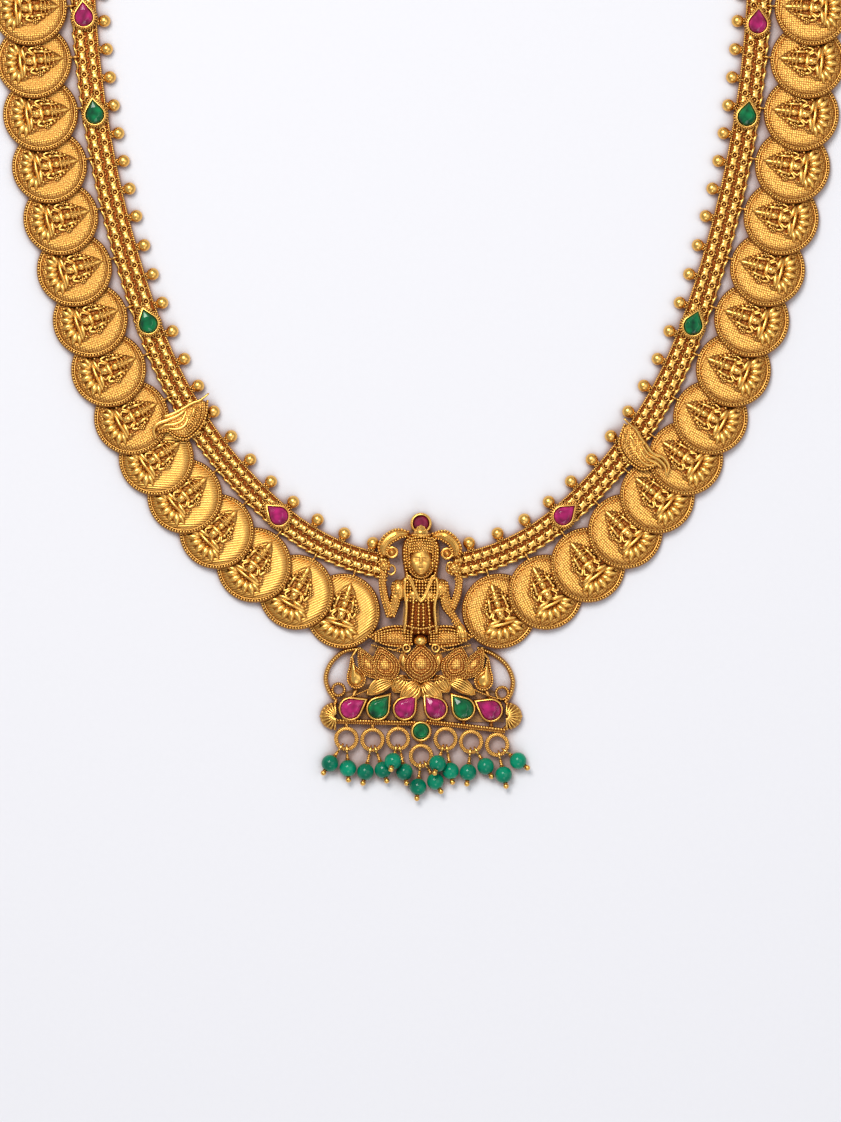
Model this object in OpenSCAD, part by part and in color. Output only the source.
// Temple jewellery necklace, lying on its back, in millimetres.
// The loop lies in the XY plane. The pendant is toward -Y, the front faces +Z and rests on z = 0.

/* [Loop] */
// Radius and sweep of each arc of the band's centreline, from the pendant up
arcs = [[43.3, 40.5], [89, 29.2], [226.6, 20.3]];
// Length of the hidden top arc that the band still covers, degrees
band_past_widest = 18.5; // [18:0.5:22]
// Distance from the pendant's axis to the start of each half band
band_start = 6.6; // [6.2:0.1:7]

/* [Band] */
// Distance of each rail from the centreline
rail_offset = 2.3; // [2.2:0.05:2.4]
// Radius of the rails
rail_radius = 0.3; // [0.25:0.01:0.32]
// Height of the rails above the table
rail_height = 1.15; // [1.1:0.05:1.2]
// Half width of the strip below the links
strip_half_width = 1.45; // [1.3:0.05:1.5]
// Thickness of that strip
strip_thickness = 0.5; // [0.4:0.05:0.6]
// Half width of the narrow end of a link
link_narrow = 1.35; // [1.2:0.05:1.4]
// Half width of the wide end of a link
link_wide = 1.8; // [1.6:0.05:1.9]
// Top of the links
link_top = 1.7; // [1.5:0.05:1.8]

/* [Coins] */
// Number of coins on each side that the photograph shows
coin_count = 15; // [15]
// Hidden coins on each side behind them
back_coin_count = 3; // [3]
// Distance of a coin's centre from the centreline
coin_offset = 10.7; // [10.6:0.1:11]
// Place of the first coin along the coin curve
first_coin = 15.8; // [15.5:0.1:16.2]
// Coin spacing in runs, each run as number of steps and step length
coin_runs = [[3, 10.05], [3, 9.5], [99, 10.6]];
// Radius of the rim's centre circle
coin_radius = 7.25; // [7.1:0.05:7.3]
// Radius of the rim bead
rim_radius = 0.35; // [0.3:0.01:0.36]
// Thickness of a coin's plate
coin_thickness = 0.6; // [0.5:0.05:0.6]
// Height of the middle of a coin's underside
coin_height = 1.0; // [1:0.05:1.1]
// Tilt of each coin, so that it laps over the next one toward the pendant
coin_tilt = 7; // [6.5:0.5:7.5]

/* [Balls] */
// Radius of the balls on the inner edge
ball_radius = 1.25; // [1.1:0.05:1.3]
// Distance of the balls from the centreline
ball_offset = -4.0; // [-4.1:0.1:-3.9]
// Place of the first ball along the ball curve
first_ball = 9.7; // [9.7]
// Ball spacing in runs, each run as number of steps and step length
ball_runs = [[14, 6.03], [99, 5.65]];
// Number of balls on each side
ball_count = 26; // [22:1:26]

/* [Stones] */
// Places of the band stones along the left half's centreline
stones_left = [31.5, 78.4, 121.6, 141.2]; // [28:0.1:142]
// Places of the band stones along the right half's centreline
stones_right = [31.5, 78, 121.2, 139.8]; // [28:0.1:142]
// Radius of the round end of a pear stone
stone_radius = 1.75; // [1.6:0.05:1.8]
// Distance from the round end's centre to the stone's tip
stone_tip = 2.95; // [2.8:0.05:3.1]
// The same two sizes of the pendant's pear stones
drop_stone_radius = 1.9; // [1.8:0.05:1.95]
// Distance to the tip on those stones
drop_stone_tip = 3.2; // [3.1:0.05:3.3]
// Space between a stone and its bezel
stone_gap = 0.1; // [0.08:0.01:0.12]

/* [Birds] */
// Place of the left and right bird along the centreline
bird_places = [56.6, 51.6]; // [50:0.1:60]
// Turn of the left and right bird
bird_turns = [8, -16]; // [-20:1:20]

/* [Drops] */
// Radius of a bead
bead_radius = 1.7; // [1.6:0.05:1.7]
// Radius of the hole through a bead
bead_bore = 0.36; // [0.34:0.01:0.4]
// Radius of a pin's stem
pin_radius = 0.25; // [0.2:0.01:0.25]
// Rings on the pendant's edge, as x and y of each centre
rings = [[-14.9, -33.9], [-9.7, -34.1], [-4.6, -33.9], [0, -37.3], [4.9, -33.9], [10, -34.5], [15.2, -35.1]];
// Radius of a ring's centre circle
ring_radius = 2.05; // [2:0.05:2.1]
// Radius of a ring's wire
ring_wire = 0.45; // [0.4:0.05:0.45]
// Drops, as ring number, and x, y and z of the bead's centre
drops = [[0, -18.2, -38.8, 1.75], [0, -14.6, -39.8, 1.75], [1, -11.1, -40.5, 1.75],
    [1, -7.6, -40.1, 1.75], [2, -5.6, -38.3, 4], [2, -3.3, -40.5, 1.75],
    [3, -0.6, -43.5, 1.75], [3, 2.85, -42.4, 1.75], [4, 3.3, -38.8, 3.6],
    [4, 5.9, -40.3, 1.75], [5, 9.4, -40.6, 1.75], [5, 12.9, -39.4, 1.75],
    [6, 16.5, -41.1, 1.75], [6, 19.4, -38.3, 1.75]];

/* [Chain] */
// Radius of a chain link's centre circle
link_radius = 1.9; // [1.9]
// Radius of the chain wire
link_wire = 0.4; // [0.4]
// Distance between two links
link_pitch = 2.85; // [2.85]
// Distance from the clasp's centre to the last link's centre
clasp_reach = 3.7; // [3.7]
// Radius of the clasp ring's centre circle
clasp_radius = 3; // [3]

/* [Hidden] */
two_digits = [for (k = [1 : 20]) k < 10 ? str("0", k) : str(k)];
coin_left_names = [for (k = [0 : coin_count - 1]) str("coin_left_", two_digits[k])];
coin_right_names = [for (k = [0 : coin_count - 1]) str("coin_right_", two_digits[k])];
stone_left_names = [for (k = [0 : 3]) str("band_stone_left_", k + 1)];
stone_right_names = [for (k = [0 : 3]) str("band_stone_right_", k + 1)];
$fn = 48;
gold = [0.86, 0.66, 0.28];
ruby = [0.7, 0.05, 0.3];
green = [0.05, 0.4, 0.28];
eps = 0.02;
base_y = -75.5;

function out_dir(h) = [sin(h), -cos(h)];
function way_dir(h) = [cos(h), sin(h)];
function head_at(i) = i == 0 ? 0 : head_at(i - 1) + arcs[i - 1][1];
function arc_r(i) = i < len(arcs) ? arcs[i][0] : top_radius;
function arc_a(i) = i < len(arcs) ? arcs[i][1] : 90;
function arc_c(i) = i == 0 ? [0, arcs[0][0] + base_y]
    : arc_c(i - 1) + (arc_r(i - 1) - arc_r(i)) * out_dir(head_at(i));
top_radius = arc_c(2)[0] + arcs[2][0];
function arc_len(i, ref) = (arc_r(i) + ref) * arc_a(i) * PI / 180;
function arc_of(s, ref, i = 0) = i == len(arcs) || s <= arc_len(i, ref) ? [i, s]
    : arc_of(s - arc_len(i, ref), ref, i + 1);
// Heading of the curve that runs at distance ref from the centreline, s along it
function heading(s, ref) = let (a = arc_of(s, ref))
    head_at(a[0]) + a[1] / (arc_r(a[0]) + ref) * 180 / PI;
// Point at distance off from the centreline, at that place
function spot(s, ref, off) = let (a = arc_of(s, ref))
    arc_c(a[0]) + (arc_r(a[0]) + off) * out_dir(heading(s, ref));
function run_to(n, runs, i = 0) = n <= 0 ? 0 : i >= len(runs) ? 0
    : min(n, runs[i][0]) * runs[i][1] + run_to(n - runs[i][0], runs, i + 1);
function coin_at(k) = first_coin + run_to(k, coin_runs);
function ball_at(k) = first_ball + run_to(k, ball_runs);
// Links stand at quarter steps between the coins
function link_at(j) = let (q = (j + 0.5) / 4, k = floor(q))
    q < 0 ? first_coin + q * 9.8 : coin_at(k) + (q - k) * (coin_at(k + 1) - coin_at(k));
first_link = -3;
link_count = 74;
last_link = link_at(first_link + link_count - 1);

// Puts children at a place on the path, with x along it away from the pendant and y toward the neck
module along(s, ref = 0, off = 0) {
    p = spot(s, ref, off);
    translate([p[0], p[1], 0]) rotate(heading(s, ref)) children();
}

// Runs the children's profile along every arc of the band. Lap is how far one arc runs into the next, degrees
module sweep(off, lap = 0.01) {
    for (i = [0 : len(arcs)]) {
        from = i == 0 ? band_start / arcs[0][0] * 180 / PI : 0;
        to = i < len(arcs) ? arc_a(i) : band_past_widest;
        c = arc_c(i);
        translate([c[0], c[1], 0]) rotate(head_at(i) - 90 + from - lap)
            rotate_extrude(angle = to - from + 2 * lap, $fn = 480) translate([arc_r(i) + off, 0]) children();
    }
}

// Wire of a rail, with a bead over each joint between two arcs
module rail(off) {
    sweep(off, -0.03) translate([0, rail_height]) circle(rail_radius, $fn = 24);
    for (i = [0 : len(arcs) - 1]) {
        p = arc_c(i) + (arc_r(i) + off) * out_dir(head_at(i + 1));
        translate([p[0], p[1], rail_height]) sphere(rail_radius + 0.12);
    }
}

// Rounded stick between two points
module stick(a, b, r) {
    d = b - a;
    n = norm(d);
    translate(a) rotate([0, acos(d[2] / n), atan2(d[1], d[0])]) cylinder(h = n, r = r);
    translate(a) sphere(r);
    translate(b) sphere(r);
}

// Cone lying from point a to point b
module spike(a, b, r1, r2) {
    d = b - a;
    n = norm(d);
    translate(a) rotate([0, acos(d[2] / n), atan2(d[1], d[0])]) cylinder(h = n, r1 = r1, r2 = r2);
}

// Half cone lying along +y, flat side down
module ridge(length, r1, r2) {
    translate([0, length, 0]) rotate([90, 0, 0]) rotate_extrude(angle = 180)
        polygon([[0, 0], [r2, 0], [r1, length], [0, length]]);
}

module torus(major, minor) {
    rotate_extrude() translate([major, 0]) circle(minor, $fn = 24);
}

// Part of a ring lying flat, from one angle to another
module bow(major, minor, from, to) {
    rotate(from) rotate_extrude(angle = to - from) translate([major, 0]) circle(minor, $fn = 24);
}

// Pear outline with its round end at the origin and its tip along +x
function pear(r, tip, n = 12) = let (a = acos(r / tip))
    concat([[tip, 0]], [for (i = [0 : n]) let (t = a + (360 - 2 * a) * i / n) r * [cos(t), sin(t)]]);

function ring_of(points, k, z, c) = [for (p = points) [c + (p[0] - c) * k, p[1] * k, z]];

// Cut stone with a flat table, a crown of facets, a girdle and a pavilion
module cut_stone(points, c, z0, height) {
    n = len(points);
    all = concat(ring_of(points, 0.55, z0, c), ring_of(points, 1, z0 + height * 0.45, c),
        ring_of(points, 1, z0 + height * 0.55, c), ring_of(points, 0.6, z0 + height, c));
    sides = [for (k = [0 : 2]) for (i = [0 : n - 1]) let (j = (i + 1) % n)
        [k * n + i, (k + 1) * n + i, (k + 1) * n + j, k * n + j]];
    bottom = [for (i = [0 : n - 1]) i];
    top = [for (i = [n - 1 : -1 : 0]) 3 * n + i];
    polyhedron(all, concat([bottom], sides, [top]), convexity = 4);
}

module pear_stone(r, tip, z0, height) {
    cut_stone(pear(r, tip), (tip - r) / 2, z0, height);
}

module round_stone(r, z0, height) {
    cut_stone([for (i = [0 : 11]) r * [cos(i * 30), sin(i * 30)]], 0, z0, height);
}

// Soldered seat of a pear stone, closed below
module bezel(r, tip, z0, z1) {
    difference() {
        translate([0, 0, z0]) linear_extrude(z1 - z0) polygon(pear(r + 0.5, tip + 0.75));
        translate([0, 0, z1 - 1.2]) linear_extrude(2) polygon(pear(r + stone_gap, tip + stone_gap * 1.6));
    }
}

// Coin lying flat with its ring toward +y
module coin() {
    top = coin_thickness;
    rotate_extrude($fn = 72) union() {
        square([coin_radius, coin_thickness]);
        translate([coin_radius, coin_thickness - 0.1]) circle(rim_radius, $fn = 24);
        translate([coin_radius - 0.95, coin_thickness - eps]) square([0.22, 0.14]);
    }
    // crown, head and hair
    translate([0, 1.4, 0.15]) ridge(4.7, 1.2, 0.5);
    translate([0, 1.2, top + 0.2]) sphere(0.75);
    for (k = [-1, 1]) {
        rod([k * 1.25, 1.9, top], [k * 1.45, 0.3, top], 0.3);
        // arm and flower
        rod([k * 0.9, 0, top], [k * 2.4, -0.9, top], 0.38);
        translate([k * 2.45, 0.2, top - 0.05]) sphere(0.5);
    }
    // body and seat
    translate([0, -1.9, 0.15]) ridge(2.5, 1.35, 1.1);
    rod([-2.3, -2.15, top], [2.3, -2.15, top], 0.3);
    // lotus petals
    for (a = [-60, -32, -5, 27, 57]) translate([0, -2.2, 0]) rotate(a) {
        rod([0, -1.5, top], [0, -3.2, top], 0.34);
        translate([0, -3.2, top]) sphere(0.42);
    }
}

// Ring of coin number k round the outer rail
module coin_ring(k, wire) {
    along(coin_at(k), coin_offset, rail_offset + 0.12) translate([0, 0, rail_height]) rotate([0, 90, 0])
        torus(0.68, wire);
}

// Coin number k of the right side in its place, with its ring round the outer rail
module hung_coin(k) {
    s = coin_at(k);
    along(s, coin_offset, coin_offset)
        translate([0, 0, coin_height]) rotate([0, coin_tilt, 0]) coin();
    coin_ring(k, 0.2);
    along(s, coin_offset, rail_offset + 1.02) translate([0, 0, rail_height + 0.18]) sphere(0.36);
}

// Outline of one row of links, narrow at one end of each link and wide at the other
function row_edge(side, wide, narrow, half) = [for (j = [first_link : first_link + link_count - 1])
    for (e = [[-half - 0.05, narrow - 0.15], [-half, narrow], [half, wide], [half + 0.05, narrow - 0.15]])
        spot(link_at(j) + e[0], coin_offset, side * e[1])];
function core_edge(side, off, half) = concat(
    [spot(link_at(first_link) - half, coin_offset, side * off)],
    [for (j = [first_link : first_link + link_count - 1]) spot(link_at(j), coin_offset, side * off)],
    [spot(last_link + half, coin_offset, side * off)]);
function reversed(list) = [for (i = [len(list) - 1 : -1 : 0]) list[i]];

module row_layer(side, z0, z1, inner, wide, narrow, half) {
    translate([0, 0, z0]) linear_extrude(z1 - z0)
        polygon(concat(row_edge(side, wide, narrow, half), reversed(core_edge(side, inner, half))));
}

// Teeth that carry the rails
function comb_edge(side) = [for (j = [first_link : first_link + link_count - 1])
    for (e = [[-0.42, link_narrow - 0.1], [-0.4, rail_offset], [0.4, rail_offset], [0.42, link_narrow - 0.1]])
        spot(link_at(j) + e[0], coin_offset, side * e[1])];

module half_band(stones, bird) {
    c = coin_offset;
    difference() {
        union() {
            sweep(0) translate([-strip_half_width, 0]) square([2 * strip_half_width, strip_thickness]);
            for (side = [-1, 1]) {
                rail(side * rail_offset);
                row_layer(side, strip_thickness - eps, link_top, 0.15, link_wide, link_narrow, 0.82);
                translate([0, 0, 0.75]) linear_extrude(0.55)
                    polygon(concat(comb_edge(side), reversed(core_edge(side, 0.4, 0.42))));
            }
            // balls on their collars
            for (k = [0 : ball_count - 1]) {
                along(ball_at(k), ball_offset, ball_offset) translate([0, 0, ball_radius]) sphere(ball_radius);
                along(ball_at(k), ball_offset, ball_offset) translate([0, -1.75, rail_height])
                    rotate([-90, 0, 0]) cylinder(h = 0.9, r = 0.5);
            }
            for (s = stones) difference() {
                along(s) translate([-0.6, 0, 0]) bezel(stone_radius, stone_tip, 0.3, 2.9);
                for (k = [0 : coin_count - 1])
                    if (norm(spot(coin_at(k), c, 0) - spot(s, 0, 0)) < 3.6) coin_ring(k, 0.29);
            }
            // last plate and the loop that holds the chain
            along(last_link + 1.9, c) translate([-1.2, -2.3, 0.3]) cube([1.4, 4.6, 1.4]);
            along(last_link + 2.1 + link_radius, c) translate([0, 0, chain_height]) rotate([-45, 0, 0])
                torus(link_radius, link_wire);
        }
        // pockets of the stones, holes of the pendant's pin and of the bird's pin
        for (s = stones) along(s) translate([-0.6, 0, 1.7]) linear_extrude(2)
            polygon(pear(stone_radius + stone_gap, stone_tip + stone_gap * 1.6));
        along(7.6) translate([0, 0, -1]) cylinder(h = 5, r = 0.65);
        along(bird) translate([0, 0, -1]) cylinder(h = 5, r = 0.6);
    }
}

module band_stone(s) {
    along(s) translate([-0.6, 0, 0]) pear_stone(stone_radius, stone_tip, 1.8, 1.6);
}

// Peacock-like ornament over the band, tip toward the neck and tail over a coin
module bird(place, turn) {
    along(place) {
        translate([0, 0, 0.5]) cylinder(h = 2, r = 0.45);
        rotate(turn) {
            translate([0, 0.2, 2.1]) cylinder(h = 0.7, r = 2.7);
            translate([0, 0.2, 2.7]) torus(2.4, 0.35);
            spike([0.3, 1.4, 2.7], [1.2, 6.2, 3.4], 0.7, 0.15);
            stick([-0.6, 5.4, 2.9], [-0.9, -3.6, 3.3], 0.22);
            // tail feathers sweeping out over the coin
            translate([-3.4, -1.8, 2.95]) bow(3.3, 0.3, -80, 25);
            translate([-3.4, -1.8, 2.9]) bow(2.4, 0.25, -75, 35);
            translate([2.2, -8.3, 3.1]) bow(2.6, 0.35, 95, 185);
            translate([1.9, -8.1, 3.1]) bow(3.6, 0.3, 100, 180);
            stick([-0.3, -1.4, 2.8], [0.6, -5.6, 3.1], 0.6);
        }
    }
}

chain_height = link_radius * sin(45) + link_wire + 0.05;
loop_heading = heading(last_link + 2.1 + link_radius, coin_offset);
chain_step = 2 * asin(link_pitch / 2 / top_radius);
chain_room = 180 - loop_heading - 2 * asin(clasp_reach / 2 / top_radius);
chain_links = floor(chain_room / chain_step);
chain_angle = chain_room / chain_links;

// Plain links from the band's loop up to the clasp, each turned a quarter from its neighbours
module chain() {
    c = arc_c(3);
    for (k = [1 : chain_links])
        translate([c[0], c[1], 0]) rotate(loop_heading + k * chain_angle)
            translate([0, -top_radius, chain_height]) rotate([k % 2 == 0 ? -45 : 45, 0, 0])
                torus(link_radius, link_wire);
}

module clasp() {
    color(gold) translate([0, arc_c(3)[1] + top_radius, chain_height]) torus(clasp_radius, 0.5);
}

// Leaf between two arcs, from its base at the origin to its tip along +y, with a rib down its middle
module petal(length, width, height) {
    r = (length * length / 4 + width * width / 4) / width;
    intersection() {
        translate([r - width / 2, length / 2, 0]) cylinder(h = height, r = r, $fn = 96);
        translate([width / 2 - r, length / 2, 0]) cylinder(h = height, r = r, $fn = 96);
    }
    spike([0, length * 0.12, height - 0.1], [0, length * 0.8, height - 0.1], width * 0.2, width * 0.1);
}

module rod(a, b, r) { spike(a, b, r, r); }

module crown() {
    translate([-0.1, 3.2, 2.6]) rotate([-90, 0, 0]) rotate_extrude() polygon([[0, 0], [2.4, 0], [2.3, 1.2],
        [1.9, 1.3], [1.8, 2.3], [1.4, 2.4], [1.2, 3.2], [0.8, 3.3], [0.5, 4.1], [0, 4.1]]);
    difference() {
        translate([0, 9.1, 0.8]) cylinder(h = 2.2, r = 2.15);
        translate([0, 9.1, 1.7]) cylinder(h = 3, r = 1.6);
    }
}

module head() {
    translate([-0.1, 1.2, 2.6]) sphere(2.1);
    spike([-0.1, 1.8, 4.5], [-0.1, 0.7, 4.5], 0.15, 0.35);
    translate([0, -3.2, 2.2]) rotate([-90, 0, 0]) cylinder(h = 2.6, r = 1.3);
    for (k = [-1, 1]) rod([k * 2.9, 3.4, 1.5], [k * 3.2, -2.2, 1.5], 0.7);
}

module arms() {
    for (k = [-1, 1]) {
        translate([k * 4.4, -3.8, 2.2]) sphere(1.5);
        rod([k * 4.5, -3.9, 2.1], [k * 5.2, -8.6, 2.0], 0.95);
        translate([k * 5.2, -8.6, 2.0]) sphere(1.1);
        // raised forearm, its hand with a lotus bud, and the pin through the end of the band
        rod([k * 5.4, -8.3, 2.1], [k * 7.2, -0.6, 3.4], 0.62);
        translate([k * 7.3, 0.4, 3.4]) sphere(1.3);
        translate([k * 7.54, 0.66, 0.05]) cylinder(h = 3.2, r = 0.5);
        // lower forearm and hand
        rod([k * 5.2, -8.6, 2.0], [k * 7.0, -11.8, 3.0], 0.75);
        translate([k * 7.1, -12.2, 3.0]) sphere(0.95);
    }
}

module torso() {
    intersection() {
        spike([0, -12.6, 1.6], [0, -3, 1.6], 2.3, 3.2);
        translate([-5, -14, 0.3]) cube([10, 13, 8]);
    }
    for (k = [-1, 1]) {
        // folded legs
        rod([0, -12.6, 2.4], [k * 7.8, -13.4, 2.2], 1.25);
        translate([k * 7.8, -13.4, 2.2]) sphere(1.35);
        // collar
        rod([k * 2.9, -2.2, 4.3], [0, -6.6, 4.5], 0.35);
        // peacock scroll beside the crown and its eye
        translate([k * 4.9, 3.6, 2.45]) bow(2.6, 0.45, k > 0 ? -60 : 10, k > 0 ? 170 : 240);
        translate([k * 5.2, 3.3, 1.4]) sphere(0.8);
    }
    // strings of the necklace over the chest
    for (x = [-2 : 1 : 2]) rod([x * 1.3, -6.2, 4.2 - abs(x) * 0.6], [x * 1.5, -12.9, 3.9 - abs(x) * 0.4], 0.4);
}

module lotus() {
    translate([0, -22.4, 0.9]) petal(8, 5.8, 2.4);
    for (k = [-1, 1]) {
        translate([k * 5.2, -22.4, 0.9]) rotate(-k * 23) petal(7.2, 4.7, 2.0);
        translate([k * 8.4, -22.2, 0.9]) rotate(-k * 30) petal(7.2, 4.2, 1.5);
        // lower petals
        translate([k * 2.75, -22.2, 0.9]) rotate(180) petal(3.2, 4.8, 1.8);
        translate([k * 5.2, -22.6, 0.9]) rotate(180 + k * 62) petal(5.6, 2.6, 1.6);
        // paisley and wire scrolls
        translate([k * 12.8, -21.6, 1.55]) sphere(1.5);
        translate([k * 12.2, -19.5, 1.5]) bow(1.7, 0.4, k > 0 ? -60 : 60, k > 0 ? 120 : 240);
        translate([k * 14.3, -21.2, 1.1]) bow(4.4, 0.35, k > 0 ? -50 : 55, k > 0 ? 125 : 230);
        translate([k * 16.4, -24.3, 1.1]) torus(1.1, 0.3);
    }
    rod([-10, -22.5, 1.6], [10, -22.5, 1.6], 0.6);
}

// Settings in the lower edge, each as x, y and the direction of its tip
settings = [[-14.1, -27.9, 30], [-8.6, -27.9, 50], [-3.3, -27.9, 50],
    [3.0, -27.9, 130], [8.5, -27.9, 130], [14.0, -28.2, 150]];
// Bars below them, left and right, as the ends' x and y
bars = [[[-17.2, -30.4], [-1.3, -30.8]], [[1.3, -30.5], [16.6, -32.3]]];
function bar_y(b, x) = b[0][1] + (x - b[0][0]) * (b[1][1] - b[0][1]) / (b[1][0] - b[0][0]);

module lower_edge() {
    for (s = settings) translate([s[0], s[1], 0]) rotate(s[2]) bezel(drop_stone_radius, drop_stone_tip, 0.4, 2.9);
    difference() {
        translate([0, -32.4, 0.4]) cylinder(h = 2.4, r = 2.1);
        translate([0, -32.4, 1.7]) cylinder(h = 3, r = 1.6);
    }
    for (b = bars) rod([b[0][0], b[0][1], 1.3], [b[1][0], b[1][1], 1.3], 0.55);
    for (k = [-1, 1]) translate([k * 18.3, -29.4, 1.85]) sphere(1.8);
    rod([16.6, -32.3, 1.3], [18.3, -29.4, 1.6], 0.4);
    for (r = rings) {
        translate([r[0], r[1], 1.45]) torus(ring_radius, ring_wire);
        from = r[0] == 0 ? -33.8 : bar_y(bars[r[0] < 0 ? 0 : 1], r[0]);
        rod([r[0], from, 1.3], [r[0], r[1] + ring_radius, 1.4], 0.45);
    }
    // feet of the six settings on the bars
    for (s = settings) rod([s[0], s[1] - 2.2, 1.3], [s[0], bar_y(bars[s[0] < 0 ? 0 : 1], s[0]), 1.3], 0.45);
}

// Half outline of the base plate, right side
plate_edge = [[1.9, 8.4], [5.4, 6.4], [5.6, 3.9], [5.6, -1.5], [6.3, -8.4], [6.4, -11.4], [9.2, -13.4],
    [11.6, -16.2], [13.2, -19.5], [14.4, -23.2], [15.6, -24.4], [15.6, -26.2]];

module pendant() {
    color(gold) translate([0, base_y, 0]) {
        linear_extrude(1.1) polygon(concat(plate_edge, [for (i = [len(plate_edge) - 1 : -1 : 0])
            [-plate_edge[i][0], plate_edge[i][1]]]));
        crown();
        head();
        arms();
        torso();
        lotus();
        lower_edge();
    }
}

module pendant_stones() {
    translate([0, base_y, 0]) {
        for (i = [0 : len(settings) - 1]) color(i == 1 || i == 4 ? green : ruby)
            translate([settings[i][0], settings[i][1], 0]) rotate(settings[i][2])
                pear_stone(drop_stone_radius, drop_stone_tip, 1.8, 1.6);
        color(green) translate([0, -32.4, 0]) round_stone(1.5, 1.8, 1.6);
        color(ruby) translate([0, 9.1, 0]) round_stone(1.5, 1.8, 1.7);
    }
}

// Frame of a drop: z along the pin from the eye to the bead, from the ring's wire
module hang(d) {
    c = rings[d[0]];
    flat = [d[1] - c[0], d[2] - c[1]];
    u = flat / norm(flat);
    eye = [c[0] + u[0] * (ring_radius + 0.1), c[1] + u[1] * (ring_radius + 0.1), 1.55];
    bead = [d[1], d[2], d[3]];
    v = bead - eye;
    translate(eye) rotate([0, acos(v[2] / norm(v)), atan2(v[1], v[0])]) {
        $reach = norm(v);
        children();
    }
}

module drop_pins() {
    color(gold) translate([0, base_y, 0]) for (d = drops) hang(d) {
        rotate([90, 0, 0]) torus(0.9, 0.2);
        translate([0, 0, 0.8]) cylinder(h = $reach + 1.5, r = pin_radius);
        translate([0, 0, $reach - 2.15]) sphere(0.4);
        translate([0, 0, $reach + 2.3]) sphere(0.55);
    }
}

module beads() {
    color(green) translate([0, base_y, 0]) for (d = drops) hang(d) difference() {
        translate([0, 0, $reach]) sphere(bead_radius);
        translate([0, 0, $reach - 3]) cylinder(h = 6, r = bead_bore);
    }
}

module band_right() { color(gold) half_band(stones_right, bird_places[1]); }
module band_left() { color(gold) mirror([1, 0, 0]) half_band(stones_left, bird_places[0]); }
module bird_right() { color(gold) bird(bird_places[1], bird_turns[1]); }
module bird_left() { color(gold) mirror([1, 0, 0]) bird(bird_places[0], bird_turns[0]); }
module chain_right() { color(gold) chain(); }
module chain_left() { color(gold) mirror([1, 0, 0]) chain(); }
module back_coins() {
    color(gold) for (k = [coin_count : coin_count + back_coin_count - 1]) hung_coin(k);
}
module back_coins_right() { back_coins(); }
module back_coins_left() { mirror([1, 0, 0]) back_coins(); }
module coin_right(k) { color(gold) hung_coin(k); }
module coin_left(k) { color(gold) mirror([1, 0, 0]) hung_coin(k); }
module band_stone_right(k) { color(k == 0 || k == 3 ? ruby : green) band_stone(stones_right[k]); }
module band_stone_left(k) {
    color(k == 0 || k == 3 ? ruby : green) mirror([1, 0, 0]) band_stone(stones_left[k]);
}

for (k = [0 : coin_count - 1]) {
    coin_left(k);
    coin_right(k);
}
for (k = [0 : 3]) {
    band_stone_left(k);
    band_stone_right(k);
}
band_left();
band_right();
back_coins_left();
back_coins_right();
bird_left();
bird_right();
pendant();
pendant_stones();
drop_pins();
beads();
chain_left();
chain_right();
clasp();
